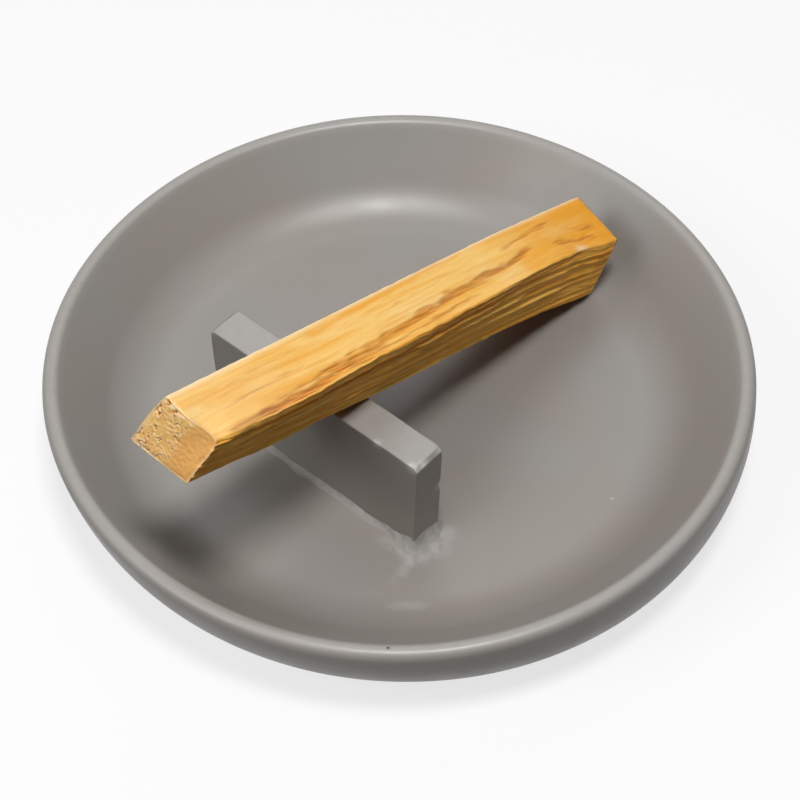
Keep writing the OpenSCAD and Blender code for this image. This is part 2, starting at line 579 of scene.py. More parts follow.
@dataclass(frozen=True)
class WoodFinish:
    """Raw split palo santo: golden on top, brown and fibrous where it tore, pitted tan at the sawn tip, with
    painted shade in its grooves, cracks, under its ridge and below, and a painted highlight along the top's
    left edge.
    """

    CREAM: ClassVar[Colour] = srgb(255, 223, 158)
    AMBER: ClassVar[Colour] = srgb(242, 162, 38)
    TORN: ClassVar[Colour] = srgb(255, 190, 78)
    SLIVER: ClassVar[Colour] = srgb(255, 206, 108)
    SHADE: ClassVar[Colour] = srgb(176, 148, 118)
    name: str
    bands: Pattern = Pattern(0.3, 0.016, 2.0, 0.8)
    lines: Pattern = Pattern(1.1, 0.03, 2.0, 0.4)
    fibres: Pattern = Pattern(6.0, 0.16)
    hairs: Pattern = Pattern(2.8, 0.06, 2.0, 0.2)
    blotches: Pattern = Pattern(0.2, 0.06)
    dull_patches: Pattern = Pattern(0.3, 0.3)
    crumbs: Pattern = Pattern(3.0, 3.0)
    gold: Colour = srgb(254, 206, 120)
    honey: Coat = Coat(srgb(249, 186, 84), 0.9, Ramp(0.42, 0.64))
    cream: Coat = Coat(CREAM, 0.4, Ramp(0.5, 0.7))
    amber_lines: Coat = Coat(AMBER, 0.4, Ramp(0.52, 0.66))
    amber: Coat = Coat(AMBER, 0.85)
    streak: Colour = srgb(182, 104, 30)
    streak_light: Coat = Coat(srgb(232, 158, 66), 1.0, Ramp(0.4, 0.58))
    streak_share: float = 0.95
    torn_dark: Coat = Coat(srgb(252, 162, 52), 0.6, Ramp(0.46, 0.6))
    torn_bands: Coat = Coat(TORN, 0.4, Ramp(0.5, 0.6))
    torn_hairs: Coat = Coat(SLIVER, 0.5, Ramp(0.54, 0.64))
    # Brown painted shade under the ridge and on the underside.
    bark: Coat = Coat(srgb(210, 126, 42), 0.6)
    sliver: Coat = Coat(SLIVER)
    sawn: Colour = srgb(255, 206, 122)
    sawn_dull: Coat = Coat(srgb(254, 192, 106), 1.0, Ramp(0.4, 0.62))
    sawn_crumbs: Coat = Coat(CREAM, 0.25, Ramp(0.5, 0.75))
    smooth: Coat = Coat(srgb(242, 178, 100), 0.8)
    pit: Coat = Coat(srgb(176, 114, 54))
    fibre_shade: Coat = Coat(SHADE, 0.1, Ramp(0.4, 0.75))
    # Painted shade, multiplied in along grooves, cracks, plate lips and the underside.
    groove: Coat = Coat(SHADE, 0.45)
    # Painted highlight along the top's left edge; also pale wood at a chip, by the tip and on the sawn ends'
    # rims and crests.
    pale_marks_and_edge_highlight: Coat = Coat(srgb(255, 240, 208), 0.8)
    roughness: float = 0.65
    line_rough: float = 0.2
    specular: float = 0.25
    fibre_height: float = 0.5
    hair_height: float = 0.7
    line_height: float = 0.6
    top_relief: float = 0.35
    relief: float = 0.14 * MM
    relief_strength: float = 0.7

    def material(self) -> bpy.types.Material:
        """Builds the wood's nodes."""
        graph = Graph(bpy.data.materials.new(self.name))
        place = graph.attribute(GRAIN, "Vector")
        bands, lines, fibres, hairs = (
            pattern.on(graph, place) for pattern in (self.bands, self.lines, self.fibres, self.hairs)
        )
        is_torn = graph.mark(Mark.TORN)
        top = self.face_colour(graph, bands, lines, hairs, self.blotches.on(graph, place))
        torn = self.torn_colour(graph, bands, lines, hairs)
        colour = graph.mix(is_torn, top, torn)
        colour = graph.mix(graph.mark(Mark.SAWN), colour, self.end_colour(graph, place))
        colour = self.fibre_shade.over(graph, colour, fibres, Blend.MULTIPLY)
        # Painted shade in grooves, cracks, under the plates' lips and on the underside.
        colour = self.groove.over(graph, colour, graph.mark(Mark.GROOVE_SHADE), Blend.MULTIPLY)
        # Paler at the edge mark: a painted highlight along the top's left edge, pale wood at a chip.
        colour = self.pale_marks_and_edge_highlight.over(graph, colour, graph.mark(Mark.EDGE))
        height = fibres * self.fibre_height + hairs * self.hair_height + lines * self.line_height
        height = height * (self.top_relief + is_torn * (1 - self.top_relief))
        inputs = {
            "Base Color": colour,
            "Roughness": self.roughness + (lines - MIDDLE) * self.line_rough,
            "Specular IOR Level": self.specular,
            "Normal": graph.bump(height, self.relief, self.relief_strength),
        }
        return graph.surface(graph.output("ShaderNodeBsdfPrincipled", {}, inputs))

    def face_colour(self, graph: Graph, bands: Value, lines: Value, hairs: Value, blotches: Value) -> Value:
        """The golden top, with honey bands, cream light wood, an amber strip and brown streaks.

        Args:
            graph: The material.
            bands: Broad soft bands.
            lines: Grain lines.
            hairs: Fine hairs.
            blotches: Wide blotches.

        Returns:
            The colour.
        """
        colour = self.honey.over(graph, self.gold, bands)
        colour = self.cream.over(graph, colour, blotches)
        colour = self.amber_lines.over(graph, colour, lines)
        colour = self.amber.over(graph, colour, graph.mark(Mark.AMBER))
        streak = self.streak_light.over(graph, self.streak, hairs)
        return graph.mix(graph.mark(Mark.STREAK) * self.streak_share, colour, streak)

    def torn_colour(self, graph: Graph, bands: Value, lines: Value, hairs: Value) -> Value:
        """The torn side, in dark and light fibres, with a brown band of painted shade under the ridge and on
        the underside.

        Args:
            graph: The material.
            bands: Broad soft bands.
            lines: Grain lines.
            hairs: Fine hairs.

        Returns:
            The colour.
        """
        colour = self.torn_dark.over(graph, self.TORN, lines)
        colour = self.torn_bands.over(graph, colour, bands)
        colour = self.torn_hairs.over(graph, colour, hairs)
        colour = self.bark.over(graph, colour, graph.mark(Mark.BROWN_SHADE))
        return self.sliver.over(graph, colour, graph.mark(Mark.SLIVER))

    def end_colour(self, graph: Graph, place: Value) -> Value:
        """The sawn end, tan and dull in places, smoother on the right, with dark pits.

        Args:
            graph: The material.
            place: The place in millimetres along the stick's own directions.

        Returns:
            The colour.
        """
        colour = self.sawn_dull.over(graph, self.sawn, self.dull_patches.on(graph, place))
        colour = self.sawn_crumbs.over(graph, colour, self.crumbs.on(graph, place))
        colour = self.smooth.over(graph, colour, graph.mark(Mark.SMOOTH))
        return self.pit.over(graph, colour, graph.mark(Mark.PIT))


@dataclass
class Piece:
    """A finished piece: its name, the CAD node that it stands for, its body and its slot."""

    name: str
    node: Node
    body: Body
    slot: Slot

    def publish(self, bm: BMesh, material: bpy.types.Material) -> bpy.types.Object:
        """Turns a finished bmesh into a piece of the object.

        Args:
            bm: The mesh in its place, which is freed here.
            material: The finish.

        Returns:
            The object, riding on its body in place of its CAD node.
        """
        mesh = bpy.data.meshes.new(self.name)
        bm.to_mesh(mesh)
        bm.free()
        mesh.shade_smooth()
        mesh.materials.append(material)
        piece = bpy.data.objects.new(self.name, mesh)
        bpy.context.scene.collection.objects.link(piece)
        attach(piece, self.body.value)
        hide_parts(self.node.value)
        LOG.info("%s: %d faces, rides on %s", self.name, len(mesh.polygons), self.body.value)
        return piece


class Outline:
    """An open outline that grows from its last vertex, with arcs in the XZ plane."""

    def __init__(self, bm: BMesh, start: Vector) -> None:
        """Starts the outline at a point."""
        self.bm = bm
        self.last: BMVert = bmesh.ops.create_vert(bm, co=start)["vert"][0]

    def line(self, end: Vector, steps: int) -> None:
        """Runs straight to a point in equal steps.

        Args:
            end: The point.
            steps: How many steps.
        """
        step = (end - self.last.co) / steps
        for _ in range(steps):
            self.last = bmesh.ops.extrude_vert_indiv(self.bm, verts=[self.last])["verts"][0]
            bmesh.ops.translate(self.bm, verts=[self.last], vec=step)

    def arc(self, centre: Vector, angle: float, steps: int) -> None:
        """Turns about a centre, from -X over +Z to +X where the angle is positive.

        Args:
            centre: The middle of the arc.
            angle: How far it turns, in radians.
            steps: How many steps.
        """
        turned = bmesh.ops.spin(
            self.bm, geom=[self.last], cent=centre, axis=(0, 1, 0), angle=angle, steps=steps, use_merge=False
        )
        self.last = next(v for v in turned["geom_last"] if isinstance(v, BMVert))


@dataclass(frozen=True)
class Wave:
    """One slow swell round the dish: how many humps, how high, and where the first one is."""

    humps: int
    size: float
    first_at: float

    def at(self, turn: float) -> float:
        """The swell at a turn round the dish, in radians."""
        return self.size * math.cos(self.humps * (turn - math.radians(self.first_at)))


@dataclass
class Dish(Piece):
    """The hand-made dish, spun from its outline and then let go a little out of true."""

    lip_thickness: float = 3.2 * MM
    floor_thickness: float = 5.4 * MM
    floor_radius: float = 40.0 * MM
    wall_straight: float = 10.5 * MM
    base_radius: float = 49.5 * MM
    foot_width: float = 7.0 * MM
    foot_recess: float = 1.0 * MM
    foot_round: float = 0.8 * MM
    foot_segments: int = 3
    turns: int = 256
    floor_steps: int = 20
    turn_steps: int = 20
    wall_steps: int = 10
    lip_steps: int = 16
    outer_steps: int = 24
    foot_steps: int = 6
    recess_steps: int = 2
    under_steps: int = 12
    rim_round: tuple[Wave, ...] = (Wave(2, 0.16 * MM, 131.0), Wave(4, 0.14 * MM, 131.0))
    rim_inset: float = 0.16 * MM
    rim_level: tuple[Wave, ...] = (Wave(2, 0.12 * MM, 40.0), Wave(3, 0.08 * MM, 10.0))
    foot_shift: Vector = Vector((1.8 * MM, 1.4 * MM, 0))
    floor_uneven: Uneven = Uneven(0.0, 0.05 * MM, 0.05)

    def __post_init__(self) -> None:
        """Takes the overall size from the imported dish."""
        low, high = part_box(self.node.value)
        self.radius = (high.x - low.x) / 2
        self.height = high.z - low.z
        self.lip_radius = self.lip_thickness / 2
        self.lip_level = self.height - self.lip_radius

    def outline(self, bm: BMesh) -> None:
        """Draws half the section, from the middle of the floor over the lip and back below.

        Args:
            bm: The mesh to draw in.
        """
        run = self.radius - self.lip_radius - self.floor_radius
        rise = self.lip_level - self.floor_thickness
        bend = run**2 + rise**2 - self.lip_radius**2 - self.wall_straight**2
        bend /= 2 * (rise + self.lip_radius)
        drop = rise - bend
        slope = math.atan2(drop, run) + math.asin((bend + self.lip_radius) / math.hypot(run, drop))
        lip_centre = Vector((self.radius - self.lip_radius, 0, self.lip_level))
        lip_start = lip_centre + self.lip_radius * Vector((-math.sin(slope), 0, math.cos(slope)))
        inset = self.radius - self.base_radius
        wall = (inset**2 + self.lip_level**2) / (2 * inset)
        wall_turn = math.atan2(self.lip_level, wall - inset)
        foot = self.base_radius - self.foot_width
        line = Outline(bm, Vector((0, 0, self.floor_thickness)))
        line.line(Vector((self.floor_radius, 0, self.floor_thickness)), self.floor_steps)
        line.arc(Vector((self.floor_radius, 0, self.floor_thickness + bend)), -slope, self.turn_steps)
        line.line(lip_start, self.wall_steps)
        line.arc(lip_centre, math.pi / 2 + slope, self.lip_steps)
        line.arc(Vector((self.radius - wall, 0, self.lip_level)), wall_turn, self.outer_steps)
        line.line(Vector((foot, 0, 0)), self.foot_steps)
        line.line(Vector((foot, 0, self.foot_recess)), self.recess_steps)
        line.line(Vector((0, 0, self.foot_recess)), self.under_steps)

    def settle(self, vert: BMVert) -> None:
        """Moves a vertex from the true round to where the hand-made dish has it.

        Args:
            vert: The vertex.
        """
        place = vert.co.copy()
        turn = math.atan2(place.y, place.x)
        reach = Vector((place.x, place.y, 0))
        outward = reach.normalized()
        raised = smoothstep(self.floor_thickness, self.lip_level, place.z)
        swell = sum(w.at(turn) for w in self.rim_round) - self.rim_inset
        lift = sum(w.at(turn) for w in self.rim_level)
        vert.co += outward * swell * raised + UP * lift * raised
        below = vert.normal.z < 0.0
        if below and place.z < self.lip_level:
            vert.co += self.foot_shift * (1 - place.z / self.lip_level)
        if not below:
            vert.co.z += self.floor_uneven.at(place)

    def build(self, finish: StonewareFinish) -> bpy.types.Object:
        """Models and dresses the dish.

        Args:
            finish: The clay.

        Returns:
            The finished piece.
        """
        bm = bmesh.new()
        self.outline(bm)
        section = bm.verts[:] + bm.edges[:]
        bmesh.ops.spin(
            bm, geom=section, cent=(0, 0, 0), axis=UP, angle=math.tau, steps=self.turns, use_merge=True
        )
        bmesh.ops.remove_doubles(bm, verts=bm.verts, dist=MERGE)
        bmesh.ops.recalc_face_normals(bm, faces=bm.faces)
        corners = [e for e in bm.edges if self.is_foot_corner(e)]
        bevel(bm, corners, self.foot_round, self.foot_segments)
        bm.normal_update()
        wear_and_sheen = bm.verts.layers.float.new(WEAR_AND_SHEEN)
        lip_low = self.height - self.lip_radius / 2
        for vert in bm.verts:
            # The top of the lip is marked paler: partly worn by rubbing, partly a painted highlight.
            vert[wear_and_sheen] = smoothstep(lip_low, self.height, vert.co.z)
            self.settle(vert)
        return self.publish(bm, finish.material())

    def is_foot_corner(self, edge: BMEdge) -> bool:
        """Tells whether an edge runs round one of the foot ring's two corners on the table.

        Args:
            edge: The edge.

        Returns:
            True where it does.
        """
        rings = (self.base_radius, self.base_radius - self.foot_width)
        return all(
            abs(v.co.z) < MERGE and any(abs(math.hypot(v.co.x, v.co.y) - r) < MERGE for r in rings)
            for v in edge.verts
        )


@dataclass(frozen=True)
class Chip:
    """A knock in an edge: where it is, as shares of the bar's box, how wide and how deep."""

    at: tuple[float, float, float]
    width: float
    depth: float


@dataclass
class RestBar(Piece):
    """The upright slab, cut by hand, with worn ends, knocked corners and slightly uneven faces."""

    draft: float = 0.8 * MM
    worn_end: float = 0.7 * MM
    edge_round: float = 0.22 * MM
    cell: float = 0.6 * MM
    sharp_angle: float = math.radians(30.0)
    round_segments: int = 3
    uneven: Uneven = Uneven(-0.035 * MM, 0.07 * MM, 0.16)
    painted_top_sheen: float = 0.3
    top_facing: Ramp = Ramp(0.9, 0.99)
    chip_uneven: Uneven = Uneven(1.0, 0.5, 1.0)
    chip_wear: float = 1.3
    chips: tuple[Chip, ...] = (
        Chip((0.972, 0.04, 1.0), 1.0 * MM, 0.25 * MM),
        Chip((0.99, 0.3, 0.985), 0.7 * MM, 0.2 * MM),
        Chip((1.0, 1.0, 1.0), 0.9 * MM, 0.35 * MM),
        Chip((0.0, 0.0, 1.0), 0.8 * MM, 0.3 * MM),
        Chip((0.81, 0.0, 1.0), 0.8 * MM, 0.18 * MM),
        Chip((0.55, 1.0, 1.0), 1.1 * MM, 0.2 * MM),
        Chip((1.0, 1.0, 0.55), 1.0 * MM, 0.3 * MM),
    )

    def block(self) -> BMesh:
        """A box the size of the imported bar, with its ends leaning in towards the foot."""
        low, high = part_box(self.node.value)
        self.low, self.high = low, high
        bm = bmesh.new()
        place = Matrix.Translation((low + high) / 2) @ Matrix.Diagonal((*(high - low), 1))
        bmesh.ops.create_cube(bm, size=1, matrix=place)
        for vert in bm.verts:
            if vert.co.z < (low.z + high.z) / 2:
                vert.co.x -= math.copysign(self.draft, vert.co.x)
        return bm

    def soften(self, bm: BMesh) -> None:
        """Wears the top edge of each end, then rounds every edge.

        Args:
            bm: The bar as a block.
        """
        ends = [e for e in bm.edges if self.is_top_end(e)]
        bevel(bm, ends, self.worn_end, 1)
        sharp = [e for e in bm.edges if e.calc_face_angle(0) > self.sharp_angle]
        bevel(bm, sharp, self.edge_round, self.round_segments)

    def is_top_end(self, edge: BMEdge) -> bool:
        """Tells whether an edge is the top edge of one of the bar's ends."""
        span = edge.verts[1].co - edge.verts[0].co
        return all(abs(v.co.z - self.high.z) < MERGE for v in edge.verts) and abs(span.y) > abs(span.x)

    def divide(self, bm: BMesh) -> None:
        """Cuts the faces into small cells, so that they can be uneven.

        Args:
            bm: The softened bar.
        """
        for axis in range(3):
            normal = Vector((0, 0, 0))
            normal[axis] = 1
            cells = round((self.high[axis] - self.low[axis]) / self.cell)
            for cut in range(1, cells):
                point = self.low.copy()
                point[axis] += (self.high[axis] - self.low[axis]) * cut / cells
                geom = bm.verts[:] + bm.edges[:] + bm.faces[:]
                bmesh.ops.bisect_plane(bm, geom=geom, dist=MERGE, plane_co=point, plane_no=normal)

    def age(self, bm: BMesh) -> None:
        """Makes the faces uneven, knocks the chips out of the edges and marks the top faces paler as a
        painted sheen.

        Args:
            bm: The divided bar.
        """
        bm.normal_update()
        wear_and_sheen = bm.verts.layers.float.new(WEAR_AND_SHEEN)
        size = self.high - self.low
        for vert in bm.verts:
            place = vert.co.copy()
            # Faces that look up are marked paler: a painted sheen on the bar's top.
            vert[wear_and_sheen] = self.painted_top_sheen * self.top_facing.at(vert.normal.z)
            depth = self.uneven.at(place)
            for chip in self.chips:
                spot = self.low + Vector((s * w for s, w in zip(chip.at, size)))
                knock = bell((place - spot).length, chip.width)
                depth -= chip.depth * knock * self.chip_uneven.at(place)
                vert[wear_and_sheen] = max(vert[wear_and_sheen], min(1.0, self.chip_wear * knock))
            vert.co += vert.normal * depth

    def build(self, finish: StonewareFinish) -> bpy.types.Object:
        """Models and dresses the bar.

        Args:
            finish: The clay.

        Returns:
            The finished piece.
        """
        bm = self.block()
        self.soften(bm)
        self.divide(bm)
        self.age(bm)
        return self.publish(bm, finish.material())


@dataclass(frozen=True)
class Lump:
    """Where more slip was pressed on: its place and reach, and how much wider and taller the bead is."""

    x: float
    y: float
    reach: float
    wider: float
    taller: float


@dataclass
class SlipSeam(Piece):
    """The bead of slip round the foot of the bar, swept round it and then pressed into lumps and smears."""

    bead_width: float = 1.2 * MM
    bead_height: float = 0.95 * MM
    bead_points: int = 16
    bead_reach: float = 1.5
    bead_bite: float = 0.3
    edge_dip: float = 0.03 * MM
    edge_from: float = 0.7
    edge_fall: float = 0.12 * MM
    sunk: float = 0.5 * MM
    core_gap: float = 0.1 * MM
    width_uneven: Uneven = Uneven(0.85, 0.45, 0.35)
    height_uneven: Uneven = Uneven(0.9, 0.4, 0.3, 1.0)
    lump_uneven: Uneven = Uneven(1.0, 0.5, 0.6)
    crumbs: tuple[Uneven, ...] = (Uneven(0.0, 1.0, 0.9), Uneven(0.0, 0.5, 1.9))
    cracks: Uneven = Uneven(0.0, 1.0, 0.55, 1.0)
    crack_edge: Ramp = Ramp(0.0, 0.1)
    crumb_height: float = 0.04 * MM
    lump_crumb_height: float = 0.1 * MM
    crack_depth: float = 0.12 * MM
    rough_from: float = 0.3
    smoothing: float = 0.5
    corner_round: float = 0.6 * MM
    step: float = 0.25 * MM
    corner_steps: int = 14
    lumps: tuple[Lump, ...] = (
        Lump(21.9 * MM, -21.4 * MM, 2.4 * MM, 0.7, 1.1),
        Lump(21.9 * MM, -17.6 * MM, 2.6 * MM, 0.9, 1.1),
        Lump(18.0 * MM, -21.4 * MM, 2.6 * MM, 0.2, 0.5),
        Lump(-21.9 * MM, -21.4 * MM, 2.0 * MM, 0.3, 0.4),
    )

    def __post_init__(self) -> None:
        """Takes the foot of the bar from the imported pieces."""
        low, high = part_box(Node.REST_BAR.value)
        seam_low, seam_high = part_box(self.node.value)
        reach = (seam_high.y - seam_low.y - (high.y - low.y)) / 2
        self.floor = seam_low.z
        self.left, self.right = seam_low.x + reach, seam_high.x - reach
        self.front, self.back = low.y, high.y

    def section(self, bm: BMesh) -> list[BMEdge]:
        """Draws the bead's closed section at the front left, just past the rounded corner.

        Args:
            bm: The mesh to draw in.

        Returns:
            The edges of the section.
        """
        inner, wide, tall = self.corner_round - self.core_gap, self.bead_width, self.bead_height
        step = (self.bead_reach + self.bead_bite) / (self.bead_points - 1)
        shares = [self.bead_reach - step * point for point in range(self.bead_points)]
        curve = []
        for share in shares:
            fall = self.edge_dip + self.edge_fall * max(0.0, share - self.edge_from)
            curve.append((wide * share, tall * max(0.0, 1 - share) ** 2 - fall))
        shape = [(-inner, -self.sunk), (wide * self.bead_reach, -self.sunk), *curve, (-inner, curve[-1][1])]
        start = self.left + self.corner_round
        points = [Vector((start, self.front - out, self.floor + up)) for out, up in shape]
        outline = Outline(bm, points[0])
        first = outline.last
        for point in points[1:]:
            outline.line(point, 1)
        bmesh.ops.contextual_create(bm, geom=[first, outline.last])
        return bm.edges[:]

    def sweep(self, bm: BMesh, edges: list[BMEdge]) -> None:
        """Runs the section round the foot of the bar: along each side, then round its corner.

        Args:
            bm: The mesh that holds it.
            edges: The edges of the section.
        """
        inset = self.corner_round
        right, left = self.right - inset, self.left + inset
        front, back = self.front + inset, self.back - inset
        sides = (
            (Vector((right - left, 0, 0)), Vector((right, front, 0))),
            (Vector((0, back - front, 0)), Vector((right, back, 0))),
            (Vector((left - right, 0, 0)), Vector((left, back, 0))),
            (Vector((0, front - back, 0)), Vector((left, front, 0))),
        )
        for run, corner in sides:
            steps = max(2, round(run.length / self.step))
            for _ in range(steps):
                grown = bmesh.ops.extrude_edge_only(bm, edges=edges)["geom"]
                verts = [g for g in grown if isinstance(g, BMVert)]
                edges = [g for g in grown if isinstance(g, BMEdge) and all(v in verts for v in g.verts)]
                bmesh.ops.translate(bm, verts=verts, vec=run / steps)
            ends = {v for e in edges for v in e.verts}
            turned = bmesh.ops.spin(
                bm, geom=[*ends, *edges], cent=corner, axis=UP, angle=math.pi / 2, steps=self.corner_steps,
                use_merge=False
            )
            edges = [g for g in turned["geom_last"] if isinstance(g, BMEdge)]
        bmesh.ops.remove_doubles(bm, verts=bm.verts, dist=MERGE)
        bmesh.ops.recalc_face_normals(bm, faces=bm.faces)

    def press(self, vert: BMVert) -> None:
        """Widens, heightens and roughens the bead at a vertex.

        Args:
            vert: The vertex.
        """
        place = vert.co.copy()
        foot_x = min(max(place.x, self.left), self.right)
        foot_y = min(max(place.y, self.front), self.back)
        foot = Vector((foot_x, foot_y, place.z))
        wider, taller, pressed = self.width_uneven.at(foot), self.height_uneven.at(foot), 0.0
        for lump in self.lumps:
            near = bell(math.hypot(foot.x - lump.x, foot.y - lump.y), lump.reach)
            wider += lump.wider * near * self.lump_uneven.at(foot)
            taller += lump.taller * near
            pressed = max(pressed, near)
        vert.co = foot + (place - foot) * wider
        level = place.z - self.floor
        if level > 0.0:
            vert.co.z = self.floor + level * taller
            crumb = sum(layer.at(vert.co) for layer in self.crumbs)
            crack = 1 - self.crack_edge.at(abs(self.cracks.at(vert.co)))
            rough = self.crumb_height * crumb
            rough += pressed * (self.lump_crumb_height * crumb - self.crack_depth * crack)
            vert.co += vert.normal * rough * smoothstep(0.0, self.rough_from * self.bead_height, level)

    def build(self, finish: SlipFinish) -> bpy.types.Object:
        """Models and dresses the seam.

        Args:
            finish: The slip.

        Returns:
            The finished piece.
        """
        bm = bmesh.new()
        self.sweep(bm, self.section(bm))
        bm.normal_update()
        for vert in bm.verts:
            self.press(vert)
        bmesh.ops.smooth_vert(
            bm, verts=bm.verts, factor=self.smoothing, use_axis_x=True, use_axis_y=True, use_axis_z=True
        )
        return self.publish(bm, finish.material())


@dataclass(frozen=True)
class Grain:
    """Noise drawn out along the stick: ripples to a millimetre across it and along it, and a seed."""

    across: float
    along: float
    seed: float

    def at(self, across: float, along: float) -> float:
        """The noise at a place in millimetres, from about -1 to 1."""
        return noise.noise(Vector((across * self.across, along * self.along, self.seed)))

    def thread(self, across: float, along: float, width: float) -> float:
        """1 on the thin lines where the noise changes sign, fading to 0 over a width."""
        return 1 - smoothstep(0.0, width, abs(self.at(across, along)))


@dataclass(frozen=True)
class Line:
    """A mark that runs along one face of the stick.

    The points give its place across the face, as a share, at shares of the stick's length. The width is in
    millimetres.
    """

    points: tuple[tuple[float, float], ...]
    width: float
    strength: float
    fade: float = 0.04

    def aside(self, along: float, across: float, reach: float) -> float:
        """How far a place lies to the right of the line, in millimetres, on a face that is so wide."""
        return (across - along_points(self.points, along)) * reach

    def shown(self, along: float) -> float:
        """1 along the line, fading to 0 at its ends."""
        start, end = self.points[0][0], self.points[-1][0]
        return smoothstep(start, start + self.fade, along) * (1 - smoothstep(end - self.fade, end, along))

    def at(self, along: float, across: float, reach: float) -> float:
        """How strong the mark is at a place on a face that is so wide."""
        return self.strength * self.shown(along) * bell(self.aside(along, across, reach), self.width)


@dataclass
class Skin:
    """What the surface is like at a point: its marks by name, and how far it stands out, in millimetres."""

    depth: float
    marks: dict[Mark, float]


# The ragged border that the golden top and the torn sides share
TORN_EDGE = Ramp(0.0, 0.7)
TORN_RAGGED = 0.8


